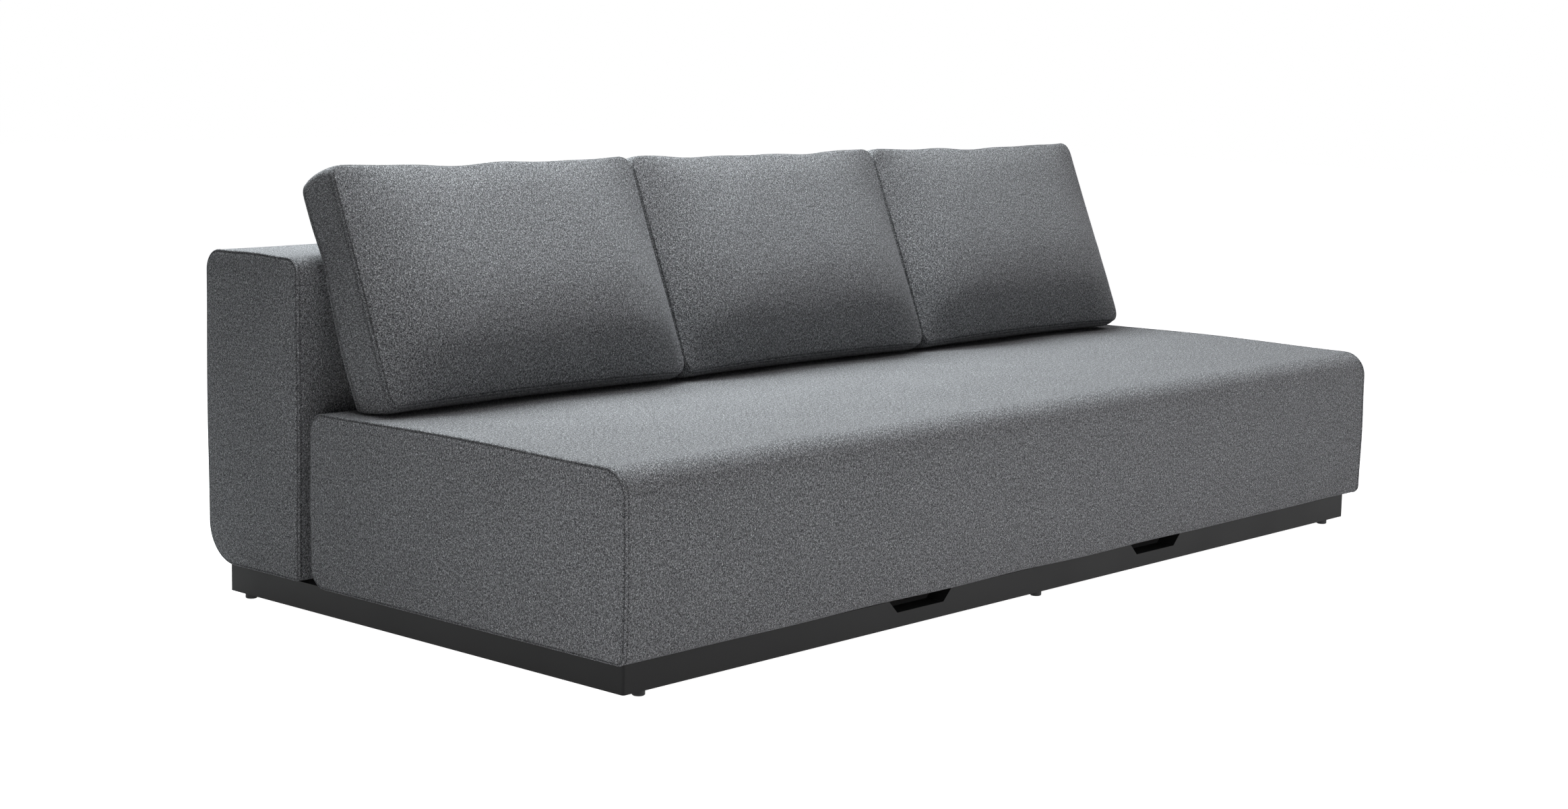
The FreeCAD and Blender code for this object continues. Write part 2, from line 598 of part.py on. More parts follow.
for seat_point, along in fixings:
    hole = drill(seat_point, along, COACH_R, COACH_BITE)
    back_bracket = back_bracket.cut(hole)
    stile_left = stile_left.cut(hole)
    beam_left = beam_left.cut(hole)
    bracket_screws.append(round_screw(seat_point, along, COACH_R, COACH_BITE, COACH_HEAD_R, COACH_HEAD_H))
sides("back_bracket", back_bracket)
sides("back_stile", stile_left)
sides("plinth_beam", beam_left)
parts["back_bracket_screws"] = Part.makeCompound(both_ends(bracket_screws))

# Loose cushions, leaning on the round edge of the back. U runs up the front face and N out of it.
tilt = math.radians(CUSHION_TILT)
seam_z = SEAT_TOP + CUSHION_FRONT_SEAM_RISE
lean_reach = CUSHION_GUSSET + CUSHION_REAR_CROWN + CUSHION_LEAN_GAP + BACK_FRONT_TOP_R
lean_rise = BACK_TOP - BACK_FRONT_TOP_R - seam_z
lean_run = (lean_reach + lean_rise * math.sin(tilt)) / math.cos(tilt)
seam_y = BACK_FRONT_Y + BACK_FRONT_TOP_R - lean_run


def cushion_point(x, u, n):
    """Point of a cushion from its place across, up the face and out of the face."""
    y = seam_y + u * math.sin(tilt) - n * math.cos(tilt)
    z = seam_z + u * math.cos(tilt) + n * math.sin(tilt)
    return V(x, y, z)


def cushion_outline(x_mid, inset, n):
    """Front outline with rounded corners, whose four sides are drawn in between them."""
    half_w = CUSHION_W / 2 - inset
    half_h = CUSHION_FACE / 2 - inset
    r = CUSHION_CORNER_R - inset
    u_mid = CUSHION_FACE / 2
    corners = ((-1, -1, 180), (1, -1, 270), (1, 1, 0), (-1, 1, 90))
    side_middles = ((0, -1), (1, 0), (0, 1), (-1, 0))
    arcs = []
    for sx, su, start in corners:
        points = []
        for turn in (0, 45, 90):
            angle = math.radians(start + turn)
            x = x_mid + sx * (half_w - r) + r * math.cos(angle)
            u = u_mid + su * (half_h - r) + r * math.sin(angle)
            points.append(cushion_point(x, u, n))
        arcs.append(Part.Arc(*points))
    edges = []
    for i, (sx, su) in enumerate(side_middles):
        middle_x = x_mid + sx * (half_w - CUSHION_DRAW_IN)
        middle_u = u_mid + su * (half_h - CUSHION_DRAW_IN)
        middle = cushion_point(middle_x, middle_u, n)
        edges.append(arcs[i].toShape())
        edges.append(Part.Arc(arcs[i].EndPoint, middle, arcs[(i + 1) % 4].StartPoint).toShape())
    return Part.Wire(edges)


def crown_height(u, crown):
    """Height of a circular crown over the face's chord, also beyond the chord's ends."""
    half = CUSHION_FACE / 2
    radius = (half * half + crown * crown) / (2 * crown)
    return crown - radius + math.sqrt(radius * radius - (u - half) ** 2)


def cushion_section(x, share, inset):
    """Upright section of the domed body: a crowned front, a lightly crowned rear and straight ends."""
    reach = CUSHION_CORNER_R
    u_ends = (-reach, CUSHION_FACE / 2, CUSHION_FACE + reach)
    swell = 1 - share * share
    front_crown = CUSHION_EDGE_CROWN + (CUSHION_CROWN - CUSHION_EDGE_CROWN) * swell
    rear_crown = CUSHION_EDGE_CROWN + (CUSHION_REAR_CROWN - CUSHION_EDGE_CROWN) * swell
    front = [cushion_point(x, u, crown_height(u, front_crown) - inset) for u in u_ends]
    rear_n = [-CUSHION_GUSSET - crown_height(u, rear_crown) + inset for u in u_ends]
    rear = [cushion_point(x, u, n) for u, n in zip(u_ends, rear_n)]
    edges = [
        Part.Arc(*front).toShape(),
        Part.LineSegment(front[2], rear[2]).toShape(),
        Part.Arc(*reversed(rear)).toShape(),
        Part.LineSegment(rear[0], front[0]).toShape(),
    ]
    return Part.Wire(edges)


def cushion_solid(x_mid, inset):
    """Outline carried through the thickness, kept between the domed faces, flat where it rests."""
    reach = CUSHION_CROWN + CUSHION_GUSSET
    outline = cushion_outline(x_mid, inset, -CUSHION_GUSSET - reach)
    through = cushion_point(0, 0, 2 * reach + CUSHION_GUSSET) - cushion_point(0, 0, 0)
    prism = Part.Face(outline).extrude(through)
    half_span = CUSHION_W / 2 + CUSHION_CORNER_R
    shares = (-1.0, -0.75, -0.4, 0.0, 0.4, 0.75, 1.0)
    sections = [cushion_section(x_mid + s * half_span, s, inset) for s in shares]
    dome = Part.makeLoft(sections, True, False)
    solid = prism.common(dome)
    rest_z = SEAT_TOP + SOFT_CLEAR + inset
    below = block(x_mid - CUSHION_W, x_mid + CUSHION_W, FRONT_Y, BACK_REAR_Y, 0, rest_z)
    return solid.cut(below)


cushion_pitch = CUSHION_W + CUSHION_SPACE
for name, x_mid in (("left", -cushion_pitch), ("middle", 0.0), ("right", cushion_pitch)):
    cushion_fill = cushion_solid(x_mid, CUSHION_COVER_T)
    parts["cushion_fill_" + name] = cushion_fill
    parts["cushion_cover_" + name] = cushion_solid(x_mid, 0.0).cut(cushion_fill)

os.makedirs("parts", exist_ok=True)
for node, shape in parts.items():
    shape.exportStep("parts/" + node + ".step")
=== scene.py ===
import bpy
import numpy as np
from mathutils import Matrix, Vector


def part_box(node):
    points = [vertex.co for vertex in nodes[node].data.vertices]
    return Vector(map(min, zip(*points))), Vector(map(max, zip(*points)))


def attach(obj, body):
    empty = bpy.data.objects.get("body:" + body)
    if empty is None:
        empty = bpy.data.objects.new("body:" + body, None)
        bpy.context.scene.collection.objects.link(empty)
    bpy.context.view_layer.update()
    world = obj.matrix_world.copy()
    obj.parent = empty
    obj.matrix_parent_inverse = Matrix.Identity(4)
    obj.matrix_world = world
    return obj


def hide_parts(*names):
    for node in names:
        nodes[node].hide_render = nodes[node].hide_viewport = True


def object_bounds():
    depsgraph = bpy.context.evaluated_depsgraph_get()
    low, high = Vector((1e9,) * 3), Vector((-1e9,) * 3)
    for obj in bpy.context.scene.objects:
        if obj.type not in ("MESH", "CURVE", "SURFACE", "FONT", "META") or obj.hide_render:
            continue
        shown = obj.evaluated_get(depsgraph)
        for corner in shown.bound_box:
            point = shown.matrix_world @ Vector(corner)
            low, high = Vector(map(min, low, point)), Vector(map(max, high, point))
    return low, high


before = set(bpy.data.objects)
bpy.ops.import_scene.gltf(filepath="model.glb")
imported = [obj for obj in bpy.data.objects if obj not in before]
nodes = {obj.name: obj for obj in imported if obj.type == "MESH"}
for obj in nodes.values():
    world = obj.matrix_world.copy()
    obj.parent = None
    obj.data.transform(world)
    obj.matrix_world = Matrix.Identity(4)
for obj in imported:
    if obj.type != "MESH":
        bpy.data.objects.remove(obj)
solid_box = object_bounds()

scene = bpy.context.scene

# Camera: stands off the sofa's left front corner at chest height, with a medium-long lens.
# It looks down a little and is rolled by about one degree, as the photograph is.
CAMERA_PLACE = (-3.8487, -3.3001, 1.0552)
CAMERA_LENS_MM = 57.74
CAMERA_SENSOR_MM = 36.0
yaw, pitch, roll = np.radians([48.085, 8.363, 1.207])
level = np.array([np.cos(yaw), -np.sin(yaw), 0.0])
ahead = np.array([np.sin(yaw) * np.cos(pitch), np.cos(yaw) * np.cos(pitch), -np.sin(pitch)])
above = np.cross(level, ahead)
across = np.cos(roll) * level + np.sin(roll) * above
upward = -np.sin(roll) * level + np.cos(roll) * above
camera_data = bpy.data.cameras.new("camera")
camera_data.lens = CAMERA_LENS_MM
camera_data.sensor_width = CAMERA_SENSOR_MM
camera = bpy.data.objects.new("camera", camera_data)
stance = np.eye(4)
stance[:3, :3] = np.column_stack([across, upward, -ahead])
stance[:3, 3] = CAMERA_PLACE
camera.matrix_world = Matrix(stance.tolist())
scene.collection.objects.link(camera)
scene.camera = camera
scene.view_settings.view_transform = "Standard"

# Studio: a plain white floor that runs on to a white surround, soft boxes overhead and weak low fills.
# The floor shows white up to the plinth's lower edge. Further in under the sofa its glow is taken away as painted
# shade.
FLOOR_HALF = 16.0
FLOOR_BOUNCE = (0.60, 0.60, 0.60, 1.0)
FLOOR_PAINTED_SHADE_FROM, FLOOR_WHITE_FROM = -0.085, -0.056
SURROUND_LIGHT = 0.02


def new_object(name, data):
    """Links a new object of that data at the origin and returns it."""
    thing = bpy.data.objects.new(name, data)
    scene.collection.objects.link(thing)
    return thing


def feed(join, slot, value):
    """Sets the slot to a plain number, or joins a socket to it."""
    if isinstance(value, (int, float)):
        slot.default_value = value
    else:
        join(value, slot)


def fed_math(make, join, operation, *values):
    """A Math node whose inputs are sockets or plain numbers; returns its output."""
    node = make("ShaderNodeMath")
    node.operation = operation
    for slot, value in zip(node.inputs, values):
        feed(join, slot, value)
    return node.outputs[0]


def ranged(make, join, value, interpolation="LINEAR", **limits):
    """A Map Range node fed by a socket, with its limits, such as from_min, given by name; returns its output."""
    node = make("ShaderNodeMapRange")
    node.interpolation_type = interpolation
    for label, limit in limits.items():
        feed(join, node.inputs[label.replace("_", " ").title()], limit)
    join(value, node.inputs["Value"])
    return node.outputs["Result"]


def seen_by_camera(make, join):
    """1 for a ray from the camera, also by way of a reflection or a clear body, and 0 for one that lights the sofa."""
    path = make("ShaderNodeLightPath")
    mirrored = fed_math(make, join, "MAXIMUM", path.outputs["Is Camera Ray"], path.outputs["Is Glossy Ray"])
    return fed_math(make, join, "MAXIMUM", mirrored, path.outputs["Is Transmission Ray"])


floor_mesh = bpy.data.meshes.new("studio_floor")
floor_mesh.from_pydata(
    [(FLOOR_HALF * x, FLOOR_HALF * y, 0) for x, y in ((-1, -1), (1, -1), (1, 1), (-1, 1))], [], [(0, 1, 2, 3)]
)
floor = new_object("studio_floor", floor_mesh)
floor_paper = bpy.data.materials.new("floor_paper")
floor_paper.use_nodes = True
floor_paper.node_tree.nodes.clear()
make, join = floor_paper.node_tree.nodes.new, floor_paper.node_tree.links.new
floor_place = make("ShaderNodeSeparateXYZ")
join(make("ShaderNodeTexCoord").outputs["Object"], floor_place.inputs[0])
past_sides = [
    fed_math(make, join, "SUBTRACT", fed_math(make, join, "ABSOLUTE", floor_place.outputs[axis]), float(half))
    for axis, half in zip("XY", solid_box[1])
]
past_edge = fed_math(make, join, "MAXIMUM", *past_sides)
# Painted shade: the floor's glow fades out just inside the plinth's footprint, so the floor under the sofa shows dark.
glow_outside_painted_shade = ranged(make, join, past_edge, "SMOOTHSTEP", from_min=FLOOR_PAINTED_SHADE_FROM, from_max=FLOOR_WHITE_FROM)
paper_matt = make("ShaderNodeBsdfDiffuse")
paper_matt.inputs["Color"].default_value = FLOOR_BOUNCE
paper_glow = make("ShaderNodeEmission")
join(fed_math(make, join, "MULTIPLY", glow_outside_painted_shade, seen_by_camera(make, join)), paper_glow.inputs["Strength"])
paper_sum = make("ShaderNodeAddShader")
join(paper_matt.outputs[0], paper_sum.inputs[0])
join(paper_glow.outputs[0], paper_sum.inputs[1])
join(paper_sum.outputs[0], make("ShaderNodeOutputMaterial").inputs["Surface"])
floor_mesh.materials.append(floor_paper)

surround = bpy.data.worlds.new("surround")
surround.use_nodes = True
scene.world = surround
make, join = surround.node_tree.nodes.new, surround.node_tree.links.new
sky = surround.node_tree.nodes["Background"]
sky.inputs["Color"].default_value = (1.0, 1.0, 1.0, 1.0)
join(ranged(make, join, seen_by_camera(make, join), to_min=SURROUND_LIGHT), sky.inputs["Strength"])


def soft_box(name, place, aim, width, depth, watts, tint):
    """An area lamp at place whose face looks at the point aim."""
    lamp = bpy.data.lights.new(name, "AREA")
    lamp.shape = "RECTANGLE"
    lamp.size, lamp.size_y, lamp.energy, lamp.color = width, depth, watts, tint
    holder = new_object(name, lamp)
    holder.visible_camera = False
    toward = np.array(aim, float) - np.array(place, float)
    toward /= np.linalg.norm(toward)
    side = np.cross(toward, (0.0, 1.0, 0.001))
    side /= np.linalg.norm(side)
    turn = np.eye(4)
    turn[:3, :3] = np.column_stack([side, np.cross(side, toward), -toward])
    turn[:3, 3] = place
    holder.matrix_world = Matrix(turn.tolist())


COOL, PLAIN = (0.945, 1.0, 1.02), (1.0, 0.985, 1.0)
soft_box("overhead_box", (-0.25, 1.0, 2.7), (-0.25, 1.0, 0.0), 1.8, 1.7, 124.0, COOL)
soft_box("front_right_box", (2.3, -1.1, 2.7), (2.3, -1.1, 0.0), 1.0, 1.0, 22.0, PLAIN)
soft_box("front_left_box", (-1.0, -0.6, 2.7), (-1.0, -0.6, 0.0), 1.0, 1.0, 9.0, PLAIN)
soft_box("low_fill", (0.1, -1.8, 0.06), (0.1, -0.5, 0.12), 3.2, 0.1, 7.6, PLAIN)
soft_box("side_fill", (-2.4, -0.85, 0.08), (-1.1, -0.25, 0.14), 1.0, 0.14, 7.0, PLAIN)

# Plinth: a low frame of four timber rails, mitred at the corners and sprayed in satin charcoal lacquer.
# Two shallow notches in the front rail's top edge let the fingers in behind the seat.
LACQUER_DARK = (0.0145, 0.0145, 0.0147, 1.0)
LACQUER_PALE = (0.0190, 0.0190, 0.0192, 1.0)
FINISH_OUTLETS = [("Color", "NodeSocketColor"), ("Roughness", "NodeSocketFloat"), ("Height", "NodeSocketFloat")]
MOTTLE_BUMP, TIMBER_BUMP, WEAVE_BUMP = 0.5, 0.4, 0.55


def new_group(name, inputs):
    """A pattern group with the named inlets and the outlets that every finish has; returns the tree, its node maker,
    its joiner and its two ends."""
    tree = bpy.data.node_groups.new(name, "ShaderNodeTree")
    for label, kind, value in inputs:
        socket = tree.interface.new_socket(label, in_out="INPUT", socket_type=kind)
        if value is not None:
            socket.default_value = value
    for label, kind in FINISH_OUTLETS:
        tree.interface.new_socket(label, in_out="OUTPUT", socket_type=kind)
    return tree, tree.nodes.new, tree.links.new, tree.nodes.new("NodeGroupInput"), tree.nodes.new("NodeGroupOutput")


def let_out(join, outlet, *sockets):
    """Joins a group's colour, roughness and height to its outlets."""
    for (label, kind), socket in zip(FINISH_OUTLETS, sockets):
        join(socket, outlet.inputs[label])


def stretched(make, join, vector, scales):
    """A place drawn out by three scales."""
    node = make("ShaderNodeMapping")
    node.inputs["Scale"].default_value = scales
    join(vector, node.inputs["Vector"])
    return node.outputs["Vector"]


def noise(make, join, vector, scale, detail, flat=False):
    """The level of a noise texture read at a place, in its plane where flat."""
    node = make("ShaderNodeTexNoise")
    if flat:
        node.noise_dimensions = "2D"
    feed(join, node.inputs["Scale"], scale)
    node.inputs["Detail"].default_value = detail
    join(vector, node.inputs["Vector"])
    return node.outputs["Fac"]


def mixed(make, join, kind, factor, first, second):
    """A Mix node of that kind between two sockets; returns its output."""
    node = make("ShaderNodeMix")
    node.data_type = kind
    for label, socket in (("Factor", factor), ("A", first), ("B", second)):
        join(socket, node.inputs[label])
    return node.outputs["Result"]


def show_pattern(finish, group, values, relief, strength):
    """Wires a pattern group into the material's shader, with a bump of that relief in metres; returns its node."""
    make, join = finish.node_tree.nodes.new, finish.node_tree.links.new
    shader = finish.node_tree.nodes["Principled BSDF"]
    pattern = make("ShaderNodeGroup")
    pattern.node_tree = group
    for label, value in values.items():
        pattern.inputs[label].default_value = value
    bump = make("ShaderNodeBump")
    bump.inputs["Distance"].default_value = relief
    bump.inputs["Strength"].default_value = strength
    join(pattern.outputs["Color"], shader.inputs["Base Color"])
    join(pattern.outputs["Roughness"], shader.inputs["Roughness"])
    join(pattern.outputs["Height"], bump.inputs["Height"])
    join(bump.outputs["Normal"], shader.inputs["Normal"])
    return pattern


# Fine mottle: cloudy noise at the size of a sprayed, moulded or rolled finish,
# between two close tones, with its own height and roughness.
mottle, make, join, inlet, outlet = new_group("fine_mottle", [
    ("Vector", "NodeSocketVector", None), ("Scale", "NodeSocketFloat", 400.0), ("Low Tone", "NodeSocketColor", None),
    ("High Tone", "NodeSocketColor", None), ("Low Roughness", "NodeSocketFloat", 0.4),
    ("High Roughness", "NodeSocketFloat", 0.6),
])
grain = noise(make, join, inlet.outputs["Vector"], inlet.outputs["Scale"], 4.0)
cloud = noise(make, join, inlet.outputs["Vector"], 7.0, 3.0)
both = fed_math(make, join, "MULTIPLY_ADD", cloud, 0.5, fed_math(make, join, "MULTIPLY", grain, 0.5))
spread = ranged(make, join, both, from_min=0.36, from_max=0.64)
tones = mixed(make, join, "RGBA", spread, inlet.outputs["Low Tone"], inlet.outputs["High Tone"])
rough = ranged(make, join, spread, to_min=inlet.outputs["Low Roughness"], to_max=inlet.outputs["High Roughness"])
let_out(join, outlet, tones, rough, grain)


def mottled(name, low, high, scale, roughness, relief, metallic=0.0, specular=0.5):
    """A material of the fine mottle on Object coordinates, with a bump of that relief in metres."""
    finish = bpy.data.materials.new(name)
    finish.use_nodes = True
    make, join = finish.node_tree.nodes.new, finish.node_tree.links.new
    shader = finish.node_tree.nodes["Principled BSDF"]
    shader.inputs["Metallic"].default_value = metallic
    shader.inputs["Specular IOR Level"].default_value = specular
    values = {"Scale": scale, "Low Tone": low, "High Tone": high}
    values["Low Roughness"], values["High Roughness"] = roughness
    pattern = show_pattern(finish, mottle, values, relief, MOTTLE_BUMP)
    join(make("ShaderNodeTexCoord").outputs["Object"], pattern.inputs["Vector"])
    return finish


def dress(finish, *names):
    """Puts the finish into every material slot of the named solids."""
    for name in names:
        for slot in nodes[name].material_slots:
            slot.material = finish


charcoal_lacquer = mottled(
    "charcoal_lacquer", LACQUER_DARK, LACQUER_PALE, 900.0, (0.42, 0.54), 0.00012, specular=0.14
)
dress(charcoal_lacquer, "plinth_front_rail", "plinth_rear_rail", "plinth_rail_left", "plinth_rail_right")

# Glides, runner shoes and slide strips: black moulded nylon.
# The glides are screwed up into the rails; the shoes and strips carry the seat as it slides.
black_nylon = mottled(
    "black_nylon", (0.012, 0.012, 0.013, 1.0), (0.024, 0.024, 0.025, 1.0), 1400.0, (0.42, 0.60), 0.0001, specular=0.3
)
dress(black_nylon, "glides", "runner_shoes", "slide_strips")

# Steelwork: folded tracks, runners, corner angles and back brackets in bright zinc plate,
# with the screws that fix them to the timber.
zinc_steel = mottled(
    "zinc_steel", (0.46, 0.47, 0.49, 1.0), (0.62, 0.63, 0.65, 1.0), 260.0, (0.28, 0.46), 0.00004, 1.0
)
dress(
    zinc_steel, "corner_angles", "corner_screws", "glide_screws", "track_left", "track_right", "track_screws",
    "runner_left", "runner_right", "runner_screws", "back_bracket_left", "back_bracket_right", "back_bracket_screws",
)

# Finger pulls: folded steel lips screwed under the seat's front rail, behind the notches.
# They are painted black, so that nothing shines there.
black_steel = mottled(
    "black_steel", (0.008, 0.008, 0.0085, 1.0), (0.013, 0.013, 0.0135, 1.0), 1100.0, (0.62, 0.78), 0.0001, specular=0.2
)
dress(black_steel, "finger_pulls", "finger_pull_screws")

# Stops and pads: black rubber. The stops are pressed into the track ends,
# and the pads are set between the back block and its bearers.
rubber = mottled(
    "rubber", (0.016, 0.016, 0.016, 1.0), (0.032, 0.031, 0.030, 1.0), 700.0, (0.70, 0.86), 0.0002, specular=0.3
)
dress(rubber, "track_stops", "back_pads")

# Inner frames: planed softwood rails, stiles, slats and beams, glued and screwed.
# The grain runs along each piece, so there is one finish for each direction of the timber.
EARLY_WOOD = (0.56, 0.39, 0.22, 1.0)
LATE_WOOD = (0.36, 0.215, 0.10, 1.0)
ALONG_GRAIN, ACROSS_GRAIN = 1.1, 24.0
TIMBER_RELIEF = 0.0003
timber, make, join, inlet, outlet = new_group("sawn_grain", [
    ("Vector", "NodeSocketVector", None), ("Early Wood", "NodeSocketColor", None),
    ("Late Wood", "NodeSocketColor", None),
])
drift = noise(make, join, inlet.outputs["Vector"], 0.7, 3.0)
rings = fed_math(make, join, "SINE", fed_math(make, join, "MULTIPLY", drift, 60.0))
fibre = noise(make, join, inlet.outputs["Vector"], 9.0, 4.0)
ring_part = ranged(make, join, rings, from_min=-1.0, to_max=0.65)
streaks = fed_math(make, join, "MULTIPLY_ADD", fibre, 0.5, ring_part)
wood_tones = mixed(make, join, "RGBA", streaks, inlet.outputs["Early Wood"], inlet.outputs["Late Wood"])
let_out(join, outlet, wood_tones, ranged(make, join, streaks, to_min=0.72, to_max=0.58), streaks)


def grained(name, stretch):
    """A timber material whose grain is drawn out by the three scales in stretch."""
    finish = bpy.data.materials.new(name)
    finish.use_nodes = True
    make, join = finish.node_tree.nodes.new, finish.node_tree.links.new
    wood = {"Early Wood": EARLY_WOOD, "Late Wood": LATE_WOOD}
    pattern = show_pattern(finish, timber, wood, TIMBER_RELIEF, TIMBER_BUMP)
    place = make("ShaderNodeTexCoord").outputs["Object"]
    join(stretched(make, join, place, stretch), pattern.inputs["Vector"])
    return finish


dress(
    grained("timber_lengthwise", (ALONG_GRAIN, ACROSS_GRAIN, ACROSS_GRAIN)), "seat_front_rail", "seat_rear_rail",
    "back_top_rail", "back_foot_rail", "back_bearer_front", "back_bearer_rear",
)
dress(
    grained("timber_crosswise", (ACROSS_GRAIN, ALONG_GRAIN, ACROSS_GRAIN)), "plinth_beam_left", "plinth_beam_centre",
    "plinth_beam_right", "seat_end_rail_left", "seat_end_rail_right", "seat_cross_rail_left", "seat_cross_rail_centre",
    "seat_cross_rail_right", "seat_slats",
)
dress(
    grained("timber_upright", (ACROSS_GRAIN, ACROSS_GRAIN, ALONG_GRAIN)), "back_end_stile_left", "back_end_stile_right",
    "back_stile_left", "back_stile_centre", "back_stile_right", "seat_corner_blocks",
)

# Back panels: thin pressed hardboard.
# They are stapled to the front and rear of the back frame, under the foam.
hardboard = mottled(
    "hardboard", (0.115, 0.068, 0.036, 1.0), (0.205, 0.125, 0.067, 1.0), 520.0, (0.62, 0.78), 0.0002
)
dress(hardboard, "back_front_panel", "back_rear_panel")

# Dust cloths: black spunbonded fabric.
# They are stapled under the seat block and the back block.
dust_cloth = mottled(
    "dust_cloth", (0.014, 0.014, 0.015, 1.0), (0.040, 0.040, 0.042, 1.0), 620.0, (0.84, 0.95), 0.0004
)
dress(dust_cloth, "seat_dust_cloth", "back_dust_cloth")

# Seat block: one long foam-padded frame under a sewn cover of flat grey melange weave.
# The cover is a long band over the front, top and rear, sewn to an end panel at each side with a topstitched seam.
YARN_DARK = (0.046, 0.0468, 0.0494, 1.0)
YARN_MID = (0.180, 0.183, 0.190, 1.0)
YARN_PALE = (0.56, 0.567, 0.580, 1.0)
YARN_WIDTH = 0.0009
YARN_RUN = 0.0023
SLUB_WIDTH = 0.0025
SLUB_RUN = 0.0036
SLUB_LEVELS = (0.42, 1.58)
TUFT_WIDTH = 0.0055
TUFT_RUN = 0.0090
TUFT_LEVELS = (0.80, 1.20)
CLOUD_SCALE = 11.0
CLOUD_LEVELS = (0.955, 1.045)
TWILL_STEP = 0.0046
STITCH_STEP = 0.0052
# Painted shade: how much the seam and topstitch grooves are darkened in the cloth's colour.
SEAM_PAINTED_SHADE, STITCH_PAINTED_SHADE = 0.66, 0.55
WEAVE_RELIEF = 0.0006
PROFILE_STEP = 0.013
LENGTH_STEP = 0.026

# Melange weave: warp and weft yarns in streaks of dark, middle and pale fibre, on twill ribs,
# read from a cloth map in metres; the seam and stitch masks darken it as painted shade in the seam and topstitch
# grooves.
weave, make, join, inlet, outlet = new_group("melange_weave", [
    ("Vector", "NodeSocketVector", None), ("Cloud Vector", "NodeSocketVector", None),
    ("Dark Yarn", "NodeSocketColor", None), ("Middle Yarn", "NodeSocketColor", None),
    ("Pale Yarn", "NodeSocketColor", None), ("Seam", "NodeSocketFloat", 0.0), ("Stitch", "NodeSocketFloat", 0.0),
])
on_cloth = inlet.outputs["Vector"]


def cloth_noise(make, join, place, width, run, detail):
    """Noise in the plane of the cloth, in patches of that width and run in metres."""
    return noise(make, join, stretched(make, join, place, (1.0 / width, 1.0 / run, 1.0)), 1.0, detail, flat=True)


def levelled(make, join, value, levels):
    """A noise's middle range spread between two levels."""
    return ranged(make, join, value, from_min=0.3, from_max=0.7, to_min=levels[0], to_max=levels[1])


warp = cloth_noise(make, join, on_cloth, YARN_WIDTH, YARN_RUN, 1.5)
weft = cloth_noise(make, join, on_cloth, YARN_RUN, YARN_WIDTH, 1.5)
split = make("ShaderNodeSeparateXYZ")
join(on_cloth, split.inputs[0])
diagonal = fed_math(make, join, "ADD", split.outputs["X"], split.outputs["Y"])
ribs = fed_math(make, join, "SINE", fed_math(make, join, "MULTIPLY", diagonal, 2.0 * np.pi / TWILL_STEP))
over = ranged(make, join, ribs, from_min=-1.0)
shown = mixed(make, join, "FLOAT", over, warp, weft)
to_middle = ranged(make, join, shown, from_min=0.38, from_max=0.50)
to_pale = ranged(make, join, shown, from_min=0.50, from_max=0.66)
dark_middle = mixed(make, join, "RGBA", to_middle, inlet.outputs["Dark Yarn"], inlet.outputs["Middle Yarn"])
yarn_tone = mixed(make, join, "RGBA", to_pale, dark_middle, inlet.outputs["Pale Yarn"])
slub = levelled(make, join, cloth_noise(make, join, on_cloth, SLUB_WIDTH, SLUB_RUN, 2.0), SLUB_LEVELS)
tuft = levelled(make, join, cloth_noise(make, join, on_cloth, TUFT_WIDTH, TUFT_RUN, 1.0), TUFT_LEVELS)
cloud = levelled(make, join, noise(make, join, inlet.outputs["Cloud Vector"], CLOUD_SCALE, 3.0), CLOUD_LEVELS)
# Painted shade: the seam mask darkens the cloth in the seam's groove, and the stitch mask along the topstitch groove in
# stitch-length dashes.
dashes = fed_math(make, join, "SINE", fed_math(make, join, "MULTIPLY", diagonal, 2.0 * np.pi / STITCH_STEP))
dash_mask = ranged(make, join, dashes, from_min=-0.5, from_max=0.2, to_min=0.6)
on_stitch = fed_math(make, join, "MULTIPLY", dash_mask, inlet.outputs["Stitch"])
painted_stitch_shade = fed_math(make, join, "MULTIPLY", on_stitch, STITCH_PAINTED_SHADE)
painted_seam_shade = fed_math(make, join, "MULTIPLY", inlet.outputs["Seam"], SEAM_PAINTED_SHADE)
kept = fed_math(make, join, "SUBTRACT", 1.0, fed_math(make, join, "MAXIMUM", painted_stitch_shade, painted_seam_shade))
uneven = fed_math(make, join, "MULTIPLY", fed_math(make, join, "MULTIPLY", slub, tuft), cloud)
shaded = make("ShaderNodeVectorMath")
shaded.operation = "SCALE"
join(yarn_tone, shaded.inputs[0])
join(fed_math(make, join, "MULTIPLY", kept, uneven), shaded.inputs["Scale"])
weave_rough = ranged(make, join, shown, to_min=0.95, to_max=0.82)
let_out(join, outlet, shaded.outputs["Vector"], weave_rough, fed_math(make, join, "MULTIPLY_ADD", over, 0.45, shown))

grey_weave = bpy.data.materials.new("grey_weave")
grey_weave.use_nodes = True
make, join = grey_weave.node_tree.nodes.new, grey_weave.node_tree.links.new
shader = grey_weave.node_tree.nodes["Principled BSDF"]
shader.inputs["Specular IOR Level"].default_value = 0.18
shader.inputs["Sheen Weight"].default_value = 0.10
shader.inputs["Sheen Roughness"].default_value = 0.45
shader.inputs["Sheen Tint"].default_value = (0.95, 0.96, 1.0, 1.0)
yarn_tones = {"Dark Yarn": YARN_DARK, "Middle Yarn": YARN_MID, "Pale Yarn": YARN_PALE}
pattern = show_pattern(grey_weave, weave, yarn_tones, WEAVE_RELIEF, WEAVE_BUMP)
cloth_map = make("ShaderNodeUVMap")
cloth_map.uv_map = "cloth"
join(cloth_map.outputs["UV"], pattern.inputs["Vector"])
join(make("ShaderNodeTexCoord").outputs["Object"], pattern.inputs["Cloud Vector"])
for label in ("seam", "stitch"):
    mask = make("ShaderNodeAttribute")
    mask.attribute_name = label
    join(mask.outputs["Fac"], pattern.inputs[label.title()])


